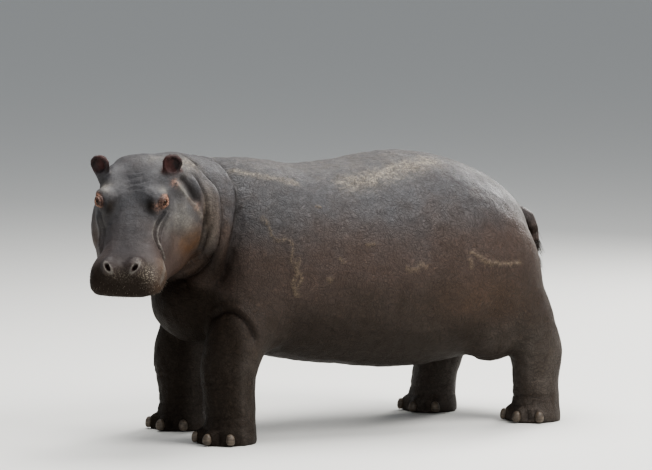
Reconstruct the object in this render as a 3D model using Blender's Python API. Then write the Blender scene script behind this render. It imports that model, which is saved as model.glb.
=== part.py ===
"""A hippopotamus at life size, standing, with its head turned to its left and lowered.

Metres, +Z up. The trunk lies along X with the tail at +X, and the animal's left side is -Y.
The flesh is modelled as overlapping clay forms, fused into one body by a voxel remesh, and
parted by thin cuts into head, lower jaw, neck, trunk and legs. Eyes, ears, tail and toenails
are pieces of their own, each set in a pocket that clears it by the same thin gap.
"""

import math

import bmesh
import bpy
import numpy as np
from mathutils import Matrix, Vector

# Driving dimensions of the whole animal: where the legs stand, and the gap at every joint.
FORE_X, HIND_X = -1.02, 0.61
LEG_Y = 0.30
CUT_GAP = 0.0004

# The head has a frame of its own: forward along the face, up out of the forehead.
HEAD_ORIGIN = Vector((-1.447, -0.138, 1.445))
HEAD_TURN = math.radians(55.5)
HEAD_PITCH = math.radians(40.0)
HEAD_LENGTH = 0.80

# Size of the voxels that fuse the clay, and the triangles that each zone is then reduced to.
VOXEL = 0.012
TRIANGLES = {"head": 1650, "legs": 1000, "barrel": 900}


def clear_scene():
    """Remove what the startup scene holds."""
    for old in list(bpy.data.objects):
        bpy.data.objects.remove(old, do_unlink=True)


def principled(name, colour, roughness, metallic=0.0):
    """A Principled material of one colour."""
    material = bpy.data.materials.new(name)
    material.use_nodes = True
    shader = material.node_tree.nodes["Principled BSDF"]
    shader.inputs["Base Color"].default_value = (*colour, 1.0)
    shader.inputs["Roughness"].default_value = roughness
    shader.inputs["Metallic"].default_value = metallic
    return material


def head_matrix():
    """Head frame to world: X forward, Y to the animal's left, Z up out of the forehead."""
    level = Vector((-math.cos(HEAD_TURN), -math.sin(HEAD_TURN), 0.0))
    forward = level * math.cos(HEAD_PITCH) - Vector((0, 0, math.sin(HEAD_PITCH)))
    up = level * math.sin(HEAD_PITCH) + Vector((0, 0, math.cos(HEAD_PITCH)))
    left = up.cross(forward)
    matrix = Matrix((forward, left, up)).transposed().to_4x4()
    matrix.translation = HEAD_ORIGIN
    return matrix


# ---------------------------------------------------------------- shapes

def smooth_rows(rows, steps):
    """Catmull-Rom interpolation of a table's rows, with so many steps from one row to the next."""
    rows = np.array(rows, float)
    padded = np.vstack([2 * rows[0] - rows[1], rows, 2 * rows[-1] - rows[-2]])
    made = []
    for i in range(len(rows) - 1):
        a, b, c, d = padded[i:i + 4]
        for t in np.arange(steps) / steps:
            curve = (2 * b, (c - a) * t, (2 * a - 5 * b + 4 * c - d) * t**2, (3 * b - a - 3 * c + d) * t**3)
            made.append(sum(curve) / 2)
    return np.vstack([made, rows[-1:]])


def mesh_object(name, points, faces, material):
    """An object of the scene from points and faces."""
    mesh = bpy.data.meshes.new(name)
    mesh.from_pydata([tuple(p) for p in points], [], faces)
    mesh.shade_smooth()
    mesh.materials.append(material)
    made = bpy.data.objects.new(name, mesh)
    bpy.context.scene.collection.objects.link(made)
    return made


def loft(name, centres, sides, ups, radii, material, power=2.2, around=40):
    """A closed skin over rings: superellipses with a side, an upper and a lower radius."""
    angle = np.linspace(0.0, 2 * np.pi, around, endpoint=False)
    across = np.sign(np.cos(angle)) * np.abs(np.cos(angle))**(2 / power)
    along = np.sign(np.sin(angle)) * np.abs(np.sin(angle))**(2 / power)
    rings = []
    for centre, side, up, (half, upper, lower) in zip(centres, sides, ups, radii):
        height = np.where(along > 0, upper, lower)
        rings.append(centre + np.outer(across * half, side) + np.outer(along * height, up))
    points = np.vstack(rings)
    last = len(points) - around
    faces = [tuple(range(around)), tuple(range(last, last + around))[::-1]]
    for i in range(0, last, around):
        for j in range(around):
            k = (j + 1) % around
            faces.append((i + k, i + j, i + around + j, i + around + k))
    made = mesh_object(name, points, faces, material)
    triangulate(made.data)
    return made


def triangulate(mesh):
    """Split a closed mesh's faces into triangles that all point outwards."""
    work = bmesh.new()
    work.from_mesh(mesh)
    bmesh.ops.triangulate(work, faces=work.faces)
    bmesh.ops.recalc_face_normals(work, faces=work.faces)
    work.to_mesh(mesh)
    work.free()


def ball(name, centre, radii, material, place=Matrix.Identity(4), detail=3):
    """An ellipsoid, its centre and radii given in the frame of place."""
    mesh = bpy.data.meshes.new(name)
    work = bmesh.new()
    bmesh.ops.create_icosphere(work, subdivisions=detail, radius=1.0)
    work.transform(place @ Matrix.Translation(centre) @ Matrix.Diagonal((*radii, 1.0)))
    work.to_mesh(mesh)
    work.free()
    mesh.shade_smooth()
    mesh.materials.append(material)
    made = bpy.data.objects.new(name, mesh)
    bpy.context.scene.collection.objects.link(made)
    return made


def block(name, low, high, material, place=Matrix.Identity(4)):
    """A box from its low corner to its high corner, in the frame of place."""
    low, high = Vector(low), Vector(high)
    mesh = bpy.data.meshes.new(name)
    work = bmesh.new()
    bmesh.ops.create_cube(work, size=1.0)
    work.transform(place @ Matrix.Translation((low + high) / 2) @ Matrix.Diagonal((*(high - low), 1.0)))
    work.to_mesh(mesh)
    work.free()
    mesh.materials.append(material)
    made = bpy.data.objects.new(name, mesh)
    bpy.context.scene.collection.objects.link(made)
    return made


# ---------------------------------------------------------------- trunk and neck

# Stations from the brisket to the rump: x, height of the back, height of the belly, half width.
TRUNK = (
    (-1.16, 1.20, 0.80, 0.16),
    (-1.10, 1.35, 0.66, 0.28),
    (-0.95, 1.435, 0.51, 0.385),
    (-0.75, 1.434, 0.415, 0.445),
    (-0.50, 1.392, 0.365, 0.485),
    (-0.22, 1.405, 0.325, 0.520),
    (0.05, 1.438, 0.300, 0.540),
    (0.30, 1.415, 0.315, 0.530),
    (0.52, 1.338, 0.365, 0.480),
    (0.69, 1.245, 0.435, 0.385),
    (0.785, 1.142, 0.505, 0.280),
    (0.838, 1.000, 0.590, 0.165),
    (0.855, 0.860, 0.670, 0.080),
)
# Height of the widest part of the barrel, as a share of its depth above the belly.
WIDEST = 0.46

# The great muscles beside the trunk: x, y, z, then three radii.
MUSCLES = (
    (-0.84, 0.280, 0.86, 0.270, 0.165, 0.42),
    (0.52, 0.285, 0.74, 0.300, 0.205, 0.42),
    (0.63, 0.180, 0.68, 0.195, 0.170, 0.32),
)
# The brisket between the forelegs: x, y, z, then three radii.
BRISKET = (-0.99, 0.04, 0.70, 0.285, 0.290, 0.230)

# Rings from the withers to the nape: centre x, y, z, half width, upper and lower radius, and how
# far the ring has swung from upright on the trunk's line (0) to square with the head (1).
NECK = (
    (-0.86, 0.000, 0.99, 0.385, 0.445, 0.44, 0.00),
    (-1.04, 0.000, 1.01, 0.375, 0.448, 0.40, 0.06),
    (-1.18, -0.020, 1.05, 0.360, 0.440, 0.37, 0.20),
    (-1.29, -0.055, 1.10, 0.335, 0.39, 0.34, 0.42),
    (-1.365, -0.110, 1.14, 0.285, 0.32, 0.30, 0.75),
    (-1.42, -0.160, 1.15, 0.230, 0.25, 0.27, 1.00),
)


def make_trunk(skin):
    """The barrel, with the muscles of the shoulders and haunches."""
    x, back, belly, half = smooth_rows(TRUNK, 4).T
    middle = belly + (back - belly) * WIDEST
    centres = np.column_stack([x, np.zeros_like(x), middle])
    count = len(x)
    sides, ups = np.tile([0.0, 1.0, 0.0], (count, 1)), np.tile([0.0, 0.0, 1.0], (count, 1))
    radii = np.column_stack([half, back - middle, middle - belly])
    clay = [loft("clay_trunk", centres, sides, ups, radii, skin, power=2.25, around=56)]
    for x, y, z, *size in MUSCLES:
        for side in (-1, 1):
            clay.append(ball("clay_muscle", (x, side * y, z), size, skin))
    clay.append(ball("clay_brisket", BRISKET[:3], BRISKET[3:], skin))
    return clay


def make_neck(skin):
    """The short thick neck, swinging from the trunk's line to the head's."""
    rows = smooth_rows(NECK, 4)
    head = head_matrix().to_3x3()
    turned_side, turned_up = np.array(head.col[1]), np.array(head.col[2])
    straight_side, straight_up = np.array([0.0, -1.0, 0.0]), np.array([0.0, 0.0, 1.0])
    swing = rows[:, 6:7]
    sides = straight_side * (1 - swing) + turned_side * swing
    ups = straight_up * (1 - swing) + turned_up * swing
    sides /= np.linalg.norm(sides, axis=1)[:, None]
    ups /= np.linalg.norm(ups, axis=1)[:, None]
    return [loft("clay_neck", rows[:, :3], sides, ups, rows[:, 3:6], skin, power=2.2, around=48)]


# ---------------------------------------------------------------- head

# Stations of the skull in the head frame: x, top, bottom, half width.
FACE = (
    (-0.14, -0.08, -0.30, 0.13),
    (-0.08, -0.016, -0.34, 0.170),
    (0.00, 0.014, -0.36, 0.188),
    (0.10, 0.024, -0.36, 0.190),
    (0.19, 0.014, -0.35, 0.184),
    (0.28, -0.012, -0.33, 0.168),
    (0.38, -0.036, -0.30, 0.156),
    (0.49, -0.052, -0.26, 0.150),
    (0.60, -0.036, -0.22, 0.152),
    (0.70, -0.015, -0.19, 0.135),
    (0.755, -0.05, -0.15, 0.095),
)
# The muzzle, wide and blunt over the tusks.
MUZZLE = (
    (0.45, -0.10, -0.20, 0.08),
    (0.53, -0.065, -0.235, 0.155),
    (0.61, -0.042, -0.236, 0.184),
    (0.69, -0.032, -0.222, 0.188),
    (0.755, -0.042, -0.196, 0.170),
    (HEAD_LENGTH - 0.008, -0.080, -0.155, 0.105),
)
# The lower jaw, broad at its angles, with a fifth number: how far the turn of the neck
# presses its flesh out to the left.
JAW = (
    (-0.06, -0.18, -0.34, 0.12, 0.050),
    (0.00, -0.14, -0.42, 0.215, 0.045),
    (0.10, -0.12, -0.490, 0.255, 0.036),
    (0.22, -0.13, -0.500, 0.258, 0.030),
    (0.34, -0.15, -0.470, 0.236, 0.018),
    (0.46, -0.17, -0.405, 0.192, 0.006),
    (0.57, -0.18, -0.322, 0.164, 0.000),
    (0.65, -0.18, -0.272, 0.140, 0.000),
    (0.70, -0.17, -0.238, 0.090, 0.000),
)
# The cheek at the angle of the jaw on each side: x, y, z in the head, then three radii.
JOWLS = (
    (0.130, 0.205, -0.265, 0.205, 0.150, 0.230),
    (0.160, -0.165, -0.290, 0.185, 0.100, 0.180),
)
# Knobs and swellings that both sides share: x, y, z in the head, then three radii.
KNOBS = {
    "orbit": (0.250, 0.118, -0.028, 0.078, 0.066, 0.062),
    "brow": (0.190, 0.080, -0.012, 0.090, 0.075, 0.040),
    "temple": (0.110, 0.114, -0.070, 0.165, 0.090, 0.098),
    "cheek": (0.205, 0.124, -0.155, 0.190, 0.100, 0.145),
    "nose": (0.694, 0.067, -0.024, 0.064, 0.046, 0.036),
    "lip": (0.655, 0.128, -0.148, 0.100, 0.068, 0.088),
    "chin": (0.600, 0.085, -0.226, 0.085, 0.068, 0.056),
    "mouth_corner": (0.370, 0.125, -0.215, 0.150, 0.068, 0.120),
    "ear_root": (0.100, 0.150, -0.030, 0.068, 0.050, 0.052),
}
EYE = (0.2725, 0.160, -0.004)
EYE_RADIUS = 0.023
NOSTRIL = (0.732, 0.069, -0.004)
NOSTRIL_RADII = (0.026, 0.010, 0.014)
# The turned neck draws the face's skin, and these with it, a little to the animal's right.
DRAWN = {"orbit": -0.013, "brow": -0.010, "nose": -0.015, "ear": -0.008}

# The ear is a cup on a short stalk: its middle in the head, where it faces and which way it rises.
EAR = (0.070, 0.184, 0.051)
# The left ear is carried higher than the right by twice this.
EAR_LIFT = 0.006
EAR_FACING = Vector((0.80, 0.30, 0.45))
EAR_RISE = Vector((-0.45, 0.20, 0.80))
# Stations up the ear from its middle: height, half width, half thickness. Then the hollow's radii.
EAR_STATIONS = (
    (-0.115, 0.016, 0.016),
    (-0.085, 0.026, 0.024),
    (-0.050, 0.035, 0.025),
    (-0.015, 0.048, 0.026),
    (0.016, 0.053, 0.025),
    (0.040, 0.043, 0.021),
    (0.054, 0.022, 0.010),
)
EAR_HOLLOW = (0.023, 0.039, 0.040)
EAR_HOLLOW_AT = (0.020, 0.0, 0.007)


def head_loft(name, stations, material, power, around):
    """A loft whose stations are given in the head frame."""
    rows = smooth_rows(stations, 4)
    x, top, bottom, half = rows[:, :4].T
    y = rows[:, 4] if rows.shape[1] > 4 else np.zeros(len(rows))
    middle = (top + bottom) / 2
    frame = np.array(head_matrix())
    count = len(rows)
    centres = np.column_stack([x, y, middle]) @ frame[:3, :3].T + frame[:3, 3]
    sides, ups = np.tile(frame[:3, 1], (count, 1)), np.tile(frame[:3, 2], (count, 1))
    radii = np.column_stack([half, top - middle, middle - bottom])
    return loft(name, centres, sides, ups, radii, material, power, around)


def make_head(skin):
    """The skull's long face, the blunt muzzle, the jaw, and the knobs of eyes and nostrils."""
    place = head_matrix()
    clay = [
        head_loft("clay_face", FACE, skin, 2.6, 40),
        head_loft("clay_muzzle", MUZZLE, skin, 2.7, 40),
        head_loft("clay_jaw", JAW, skin, 2.4, 40),
    ]
    for jowl in JOWLS:
        clay.append(ball("clay_jowl", jowl[:3], jowl[3:], skin, place))
    for name, (x, y, z, *size) in KNOBS.items():
        for side in (-1, 1):
            spot = (x, side * y + DRAWN.get(name, 0.0), z)
            clay.append(ball("clay_" + name, spot, size, skin, place))
    return clay


def make_ear(name, side, skin):
    """A round cup with a thick rim on a stalk that runs into the head, and its uncut form."""
    facing = Vector((EAR_FACING.x, side * EAR_FACING.y, EAR_FACING.z)).normalized()
    rise = Vector((EAR_RISE.x, side * EAR_RISE.y, EAR_RISE.z))
    rise = (rise - facing * rise.dot(facing)).normalized()
    turn = Matrix((facing, rise.cross(facing), rise)).transposed().to_4x4()
    spot = (EAR[0], side * EAR[1] + DRAWN["ear"], EAR[2] + side * EAR_LIFT)
    place = head_matrix() @ Matrix.Translation(spot) @ turn
    frame = np.array(place)
    height, half, thick = smooth_rows(EAR_STATIONS, 1).T
    centres = np.outer(height, frame[:3, 2]) + frame[:3, 3]
    count = len(height)
    sides, ups = np.tile(frame[:3, 1], (count, 1)), np.tile(frame[:3, 0], (count, 1))
    ear = loft(name, centres, sides, ups, np.column_stack([half, thick, thick]), skin, power=2.0, around=12)
    uncut = copy_of(ear, "uncut")
    carve(ear, ball("hollow", EAR_HOLLOW_AT, EAR_HOLLOW, skin, place, detail=2), "DIFFERENCE")
    return ear, uncut


# ---------------------------------------------------------------- legs

# Stations down a leg: height, offset of the centre ahead of the foot, half length, half width.
FORELEG = (
    (0.92, -0.20, 0.10, 0.060),
    (0.78, -0.16, 0.185, 0.120),
    (0.61, -0.09, 0.190, 0.150),
    (0.46, -0.02, 0.168, 0.142),
    (0.32, 0.01, 0.144, 0.132),
    (0.20, 0.00, 0.130, 0.124),
    (0.10, 0.00, 0.132, 0.128),
    (0.03, 0.01, 0.146, 0.142),
    (-0.05, 0.01, 0.142, 0.138),
)
HINDLEG = (
    (0.88, 0.08, 0.12, 0.080),
    (0.75, 0.08, 0.21, 0.155),
    (0.61, 0.07, 0.225, 0.172),
    (0.46, 0.00, 0.180, 0.146),
    (0.35, -0.03, 0.144, 0.128),
    (0.21, 0.00, 0.124, 0.118),
    (0.10, 0.01, 0.126, 0.122),
    (0.03, 0.02, 0.142, 0.136),
    (-0.05, 0.02, 0.136, 0.130),
)
# Where each foot stands, its side, its stations, and how far the joints above hang back from it.
FEET = {
    "foreleg_left": (FORE_X, -1, FORELEG, 0.0),
    "foreleg_right": (FORE_X + 0.03, 1, FORELEG, 0.0),
    "hindleg_left": (HIND_X + 0.19, -1, HINDLEG, 0.13),
    "hindleg_right": (HIND_X - 0.10, 1, HINDLEG, -0.06),
}
# Four toes fan out from the middle of the foot, each with a nail at its tip.
TOE_ANGLES = tuple(math.radians(angle) for angle in (-64, -22, 22, 64))
TOE_REACH = (0.108, 0.130, 0.130, 0.108)
TOE_RADII = (0.066, 0.046, 0.060)
TOE_HEIGHT = 0.034
NAIL_AHEAD = 0.048
NAIL_HEIGHT = 0.036
NAIL_RADII = (0.022, 0.026, 0.029)


def make_leg(name, skin):
    """One leg down to its sole, with its four toes."""
    foot_x, side, stations, drawn = FEET[name]
    height, ahead, half_length, half_width = smooth_rows(stations, 4).T
    raised = np.clip((height - 0.12) / 0.62, 0.0, 1.0)
    x = foot_x - ahead - drawn * raised**1.2
    count = len(x)
    centres = np.column_stack([x, np.full(count, side * LEG_Y), height])
    sides, ups = np.tile([1.0, 0.0, 0.0], (count, 1)), np.tile([0.0, 1.0, 0.0], (count, 1))
    radii = np.column_stack([half_length, half_width, half_width])
    clay = [loft("clay_" + name, centres, sides, ups, radii, skin, power=2.1, around=36)]
    for place in toe_frames(name):
        clay.append(ball("clay_toe", (-0.012, 0, TOE_HEIGHT), TOE_RADII, skin, place))
    return clay


def toe_frames(name):
    """Frames at a foot's toes, on the ground under each, with X towards the toe's tip."""
    foot_x, side, _, _ = FEET[name]
    centre = Matrix.Translation((foot_x, side * LEG_Y, 0.0))
    for angle, reach in zip(TOE_ANGLES, TOE_REACH):
        yield centre @ Matrix.Rotation(math.pi + angle, 4, "Z") @ Matrix.Translation((reach, 0, 0))


# ---------------------------------------------------------------- tail

# Rings down the tail: centre x and z, half width across it, half depth front to back.
TAIL = (
    (0.790, 1.075, 0.034, 0.030),
    (0.855, 1.076, 0.037, 0.036),
    (0.912, 1.045, 0.035, 0.037),
    (0.942, 0.980, 0.031, 0.035),
    (0.950, 0.900, 0.026, 0.029),
    (0.955, 0.825, 0.018, 0.025),
    (0.957, 0.765, 0.013, 0.021),
    (0.957, 0.735, 0.007, 0.011),
)


def make_tail(skin):
    """A short tail hanging off the rump, thick at the root and flattened at the tip."""
    x, z, half, depth = smooth_rows(TAIL, 1).T
    centres = np.column_stack([x, np.zeros_like(x), z])
    along = np.gradient(centres, axis=0)
    along /= np.linalg.norm(along, axis=1)[:, None]
    sides = np.tile([0.0, 1.0, 0.0], (len(x), 1))
    ups = np.cross(along, sides)
    radii = np.column_stack([half, depth, depth])
    return loft("tail", centres, sides, ups, radii, skin, power=2.1, around=10)


# ---------------------------------------------------------------- fusing and cutting

# Zones of the body: the head lies within reach of its middle, the legs below a height.
HEAD_MIDDLE = Vector((0.30, 0.0, -0.15))
HEAD_REACH = 0.52
LEG_TOP = 0.46
# Smoothing is full beyond the first distance from the head and above the first height, and
# falls off towards the head and the feet over the second. Then the passes, everywhere and on
# the trunk, and the share of the trunk's passes that the head still takes.
SOFT_BEYOND, SOFT_HEAD_FADE = 0.70, 0.25
SOFT_ABOVE, SOFT_FOOT_FADE = 0.40, 0.26
SOFT_PASSES, SOFT_TRUNK_PASSES = 4, 60
SOFT_HEAD_SHARE = 0.25

def bake(obj):
    """Apply an object's modifiers."""
    graph = bpy.context.evaluated_depsgraph_get()
    made = bpy.data.meshes.new_from_object(obj.evaluated_get(graph))
    obj.modifiers.clear()
    obj.data = made


def carve(obj, tool, operation):
    """Exact boolean of an object with a tool, which is used up."""
    boolean = obj.modifiers.new("carve", "BOOLEAN")
    boolean.operation = operation
    boolean.solver = "EXACT"
    boolean.object = tool
    bake(obj)
    bpy.data.objects.remove(tool, do_unlink=True)


def copy_of(obj, name):
    """A copy with a mesh of its own."""
    made = bpy.data.objects.new(name, obj.data.copy())
    bpy.context.scene.collection.objects.link(made)
    return made


def grown(obj):
    """A copy swollen by the cutting gap along its normals, to cut a pocket with."""
    made = copy_of(obj, "pocket")
    normals = np.empty(len(made.data.vertices) * 3, np.float32)
    made.data.vertex_normals.foreach_get("vector", normals)
    points = points_of(made.data) + normals.reshape(-1, 3) * CUT_GAP
    made.data.vertices.foreach_set("co", points.astype(np.float32).ravel())
    return made


def points_of(mesh):
    """The mesh's vertices as an array."""
    points = np.empty(len(mesh.vertices) * 3, np.float32)
    mesh.vertices.foreach_get("co", points)
    return points.reshape(-1, 3)


def from_head(points):
    """Distance of points from the middle of the head."""
    return np.linalg.norm(points - np.array(head_matrix() @ HEAD_MIDDLE), axis=1)


def trunk_share(points):
    """1 on the trunk, falling to a smaller share at the head and nothing at the feet."""
    head = 1 - (SOFT_BEYOND - from_head(points)) / SOFT_HEAD_FADE
    feet = 1 - (SOFT_ABOVE - points[:, 2]) / SOFT_FOOT_FADE
    return np.clip(head, SOFT_HEAD_SHARE, 1) * np.clip(feet, 0, 1)


def zone_share(zone, points):
    """1 in a zone of the body and 0 outside it."""
    head = from_head(points) < HEAD_REACH
    legs = (points[:, 2] < LEG_TOP) & ~head
    inside = {"head": head, "legs": legs, "barrel": ~head & ~legs}
    return inside[zone].astype(float)


def paint(obj, name, weights):
    """A vertex group with the weights given, in steps of a twentieth."""
    group = obj.vertex_groups.new(name=name)
    steps = np.round(weights * 20).astype(int)
    for step in range(1, 21):
        group.add(np.flatnonzero(steps == step).tolist(), step / 20, "REPLACE")


def fuse(clay):
    """One closed body from overlapping clay forms, softened where they meet and made lighter."""
    work = bmesh.new()
    material = clay[0].data.materials[0]
    for form in clay:
        work.from_mesh(form.data)
        bpy.data.objects.remove(form, do_unlink=True)
    mesh = bpy.data.meshes.new("body")
    work.to_mesh(mesh)
    work.free()
    body = bpy.data.objects.new("body", mesh)
    bpy.context.scene.collection.objects.link(body)
    remesh = body.modifiers.new("fuse", "REMESH")
    remesh.mode = "VOXEL"
    remesh.voxel_size = VOXEL
    bake(body)
    paint(body, "trunk", trunk_share(points_of(body.data)))
    for group, times in (("", SOFT_PASSES), ("trunk", SOFT_TRUNK_PASSES)):
        smooth = body.modifiers.new("soften", "SMOOTH")
        smooth.factor = 0.5
        smooth.iterations = times
        smooth.vertex_group = group
    bake(body)
    for zone in TRIANGLES:
        lighten(body, zone)
    body.data.materials.clear()
    body.data.materials.append(material)
    return body


def lighten(body, zone):
    """Reduce one zone to its number of triangles, leaving the rest as it is."""
    triangulate(body.data)
    weights = zone_share(zone, points_of(body.data))
    corners = np.empty(len(body.data.polygons) * 3, np.int32)
    body.data.polygons.foreach_get("vertices", corners)
    free = weights[corners.reshape(-1, 3)].min(axis=1).sum()
    paint(body, zone, weights)
    decimate = body.modifiers.new("lighten", "DECIMATE")
    decimate.ratio = 1 - (free - TRIANGLES[zone]) / len(body.data.polygons)
    decimate.vertex_group = zone
    decimate.vertex_group_factor = 1.0
    bake(body)


# Regions of the fused body, cut off one after another: name, low corner, high corner, and
# whether the corners are given in the head frame. What is left is the trunk.
MOUTH_Z = -0.245
REGIONS = (
    ("lower_jaw", (-0.02, -0.60, -0.510), (1.00, 0.60, MOUTH_Z), True),
    ("head", (-0.02, -0.60, MOUTH_Z - 0.01), (1.00, 0.60, 0.40), True),
    ("foreleg_left", (-1.60, -0.80, -0.20), (-0.82, -0.115, 0.56), False),
    ("foreleg_right", (-1.60, 0.115, -0.20), (-0.82, 0.80, 0.56), False),
    ("hindleg_left", (0.40, -0.80, -0.20), (1.30, -0.115, 0.56), False),
    ("hindleg_right", (0.30, 0.115, -0.20), (1.30, 0.80, 0.56), False),
    ("neck", (-2.20, -1.00, 0.40), (-1.06, 1.00, 2.00), False),
)


def part_body(body, skin):
    """Cut the fused body into its regions, leaving a gap at every cut."""
    nodes = {}
    margin = Vector((CUT_GAP, CUT_GAP, CUT_GAP))
    for name, low, high, in_head in REGIONS:
        place = head_matrix() if in_head else Matrix.Identity(4)
        nodes[name] = copy_of(body, name)
        carve(nodes[name], block("region", low, high, skin, place), "INTERSECT")
        carve(body, block("region", Vector(low) - margin, Vector(high) + margin, skin, place), "DIFFERENCE")
    body.name = "trunk"
    nodes["trunk"] = body
    return nodes


clear_scene()
hide = principled("hide", (0.085, 0.070, 0.068), 0.55)
ear_hide = principled("ear_hide", (0.060, 0.035, 0.036), 0.60)
eye_glass = principled("eye_glass", (0.020, 0.013, 0.010), 0.08)
nail_horn = principled("nail_horn", (0.110, 0.095, 0.080), 0.45)

clay = make_trunk(hide) + make_neck(hide) + make_head(hide)
for leg in FEET:
    clay += make_leg(leg, hide)
fused = fuse(clay)
carve(fused, block("ground", (-3, -2, -1), (3, 2, 0), hide), "DIFFERENCE")
nodes = part_body(fused, hide)

# Pieces set in pockets: each host gives up the piece's shape and the gap around it.
frame = head_matrix()
for side, hand in ((1, "left"), (-1, "right")):
    socket = (EYE[0], side * EYE[1] + DRAWN["orbit"], EYE[2])
    eye = ball("eye_" + hand, socket, (EYE_RADIUS,) * 3, eye_glass, frame, 2)
    carve(nodes["head"], grown(eye), "DIFFERENCE")
    nodes["eye_" + hand] = eye
    nodes["ear_" + hand], uncut = make_ear("ear_" + hand, side, ear_hide)
    carve(nodes["head"], grown(uncut), "DIFFERENCE")
    bpy.data.objects.remove(uncut, do_unlink=True)
    nostril = (NOSTRIL[0], side * NOSTRIL[1] + DRAWN["nose"], NOSTRIL[2])
    pit = ball("pit", nostril, NOSTRIL_RADII, hide, frame, 2)
    carve(nodes["head"], pit, "DIFFERENCE")
nodes["tail"] = make_tail(ear_hide)
carve(nodes["trunk"], grown(nodes["tail"]), "DIFFERENCE")
for leg in FEET:
    for number, place in enumerate(toe_frames(leg), 1):
        name = "nail_%s_%d" % (leg, number)
        nodes[name] = ball(name, (NAIL_AHEAD, 0, NAIL_HEIGHT), NAIL_RADII, nail_horn, place, 1)
        carve(nodes[leg], grown(nodes[name]), "DIFFERENCE")

# Stand the animal with the middle of its bounds over the origin.
everything = np.vstack([points_of(node.data) for node in nodes.values()])
middle = (everything.min(axis=0) + everything.max(axis=0)) / 2
for node in nodes.values():
    node.data.transform(Matrix.Translation((-middle[0], -middle[1], 0.0)))
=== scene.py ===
"""A life-size hippopotamus, standing still: skin, eyes, nails, bristles, then the floor and lights."""
import math

import bmesh
import bpy
import numpy as np
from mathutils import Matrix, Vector


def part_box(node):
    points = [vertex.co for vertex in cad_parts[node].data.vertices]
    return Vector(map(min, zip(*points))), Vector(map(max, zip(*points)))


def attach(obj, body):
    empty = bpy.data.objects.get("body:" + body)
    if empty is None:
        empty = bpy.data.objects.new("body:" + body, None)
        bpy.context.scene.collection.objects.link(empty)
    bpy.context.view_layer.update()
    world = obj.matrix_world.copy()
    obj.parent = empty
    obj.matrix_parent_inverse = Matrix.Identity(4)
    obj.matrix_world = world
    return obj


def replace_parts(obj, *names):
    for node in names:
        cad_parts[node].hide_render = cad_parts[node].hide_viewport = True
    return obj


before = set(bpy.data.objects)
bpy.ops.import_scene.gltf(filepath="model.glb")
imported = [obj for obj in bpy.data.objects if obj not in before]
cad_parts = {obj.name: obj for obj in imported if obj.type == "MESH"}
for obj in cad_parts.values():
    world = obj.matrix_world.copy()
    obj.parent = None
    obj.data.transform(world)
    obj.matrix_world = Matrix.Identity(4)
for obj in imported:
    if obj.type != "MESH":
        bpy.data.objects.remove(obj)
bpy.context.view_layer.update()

# -------------------- the skin: its form
# One closed hide over head, neck, barrel, legs, ears and tail, as a taxidermist would pull it over the
# form. The blocks of flesh are fused, the facets are eased out, and the grid is finest on the head.
FLESH = ("head", "lower_jaw", "neck", "trunk", "tail", "ear_left", "ear_right",
         "foreleg_left", "foreleg_right", "hindleg_left", "hindleg_right")
SHARED_CORNER = 1e-5
FUSE_GRID = 0.011           # metres between points, after the head is magnified
FINE_REACH = 0.62           # radius of the ball round the head where the grid is finest
FINE_GAIN = 1.9             # how many times finer the head's grid is
EASE_PACE = 0.62
EASE_ROUNDS = 90

HEAD_TURN = math.radians(55.5)
HEAD_PITCH = math.radians(40.0)


def limits(node):
    """The lowest and the highest corner of a node's box."""
    return [np.array(corner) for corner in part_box(node)]


def middle(node):
    """The centre of a node's box."""
    low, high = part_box(node)
    return np.array((low + high) / 2)


head_forward = -np.array([math.cos(HEAD_TURN) * math.cos(HEAD_PITCH),
                          math.sin(HEAD_TURN) * math.cos(HEAD_PITCH), math.sin(HEAD_PITCH)])
head_left = np.array([math.sin(HEAD_TURN), -math.cos(HEAD_TURN), 0.0])
head_up = np.cross(head_forward, head_left)
HEAD_AXES = np.array([head_forward, head_left, head_up])
EYES_IN_HEAD = np.array([0.2725, -0.013, -0.004])
head_origin = (middle("eye_left") + middle("eye_right")) / 2 - EYES_IN_HEAD @ HEAD_AXES


def in_head(points):
    """Points turned into the head's frame: along the muzzle, to its left, and up from the brow."""
    return (np.asarray(points) - head_origin) @ HEAD_AXES.T


def from_head(points, side=1):
    """Points of the head's frame turned back into the animal's, mirrored first if side is -1."""
    return (np.asarray(points) * (1, side, 1)) @ HEAD_AXES + head_origin


def step(values, low, high):
    """A smooth rise from 0 at low to 1 at high, cubic in between."""
    t = np.clip((np.asarray(values) - low) / (high - low), 0.0, 1.0)
    return t * t * (3.0 - 2.0 * t)


def length(rows):
    """The length of each row."""
    return np.linalg.norm(rows, axis=1)


def read(items, what, width, kind=float):
    """One property of all of a mesh's items, a row for each."""
    values = np.empty(len(items) * width, kind)
    items.foreach_get(what, values)
    return values.reshape(-1, width)


def mesh_arrays(mesh):
    """A mesh's points, and its edges as pairs of point numbers."""
    return read(mesh.vertices, "co", 3), read(mesh.edges, "vertices", 2, np.int64)


def corners_of(node):
    """The corners of a node's own mesh."""
    return mesh_arrays(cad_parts[node].data)[0]


def unit(vector):
    """The vector at a length of 1."""
    return vector / np.linalg.norm(vector)


def set_points(mesh, points):
    """Puts an array of points back into its mesh."""
    mesh.vertices.foreach_set("co", np.ascontiguousarray(points, np.float32).ravel())
    mesh.update()


def magnified(points, centre, back=False):
    """A distance r from the centre becomes gain*r inside the reach, and r plus a constant beyond it.
    back undoes it."""
    away = points - centre
    radius = length(away) + 1e-12
    edge = FINE_REACH * FINE_GAIN
    if back:
        new = np.where(radius < edge, radius / FINE_GAIN, radius - edge + FINE_REACH)
    else:
        new = np.where(radius < FINE_REACH, radius * FINE_GAIN, radius + edge - FINE_REACH)
    return centre + away * (new / radius)[:, None]


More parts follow.
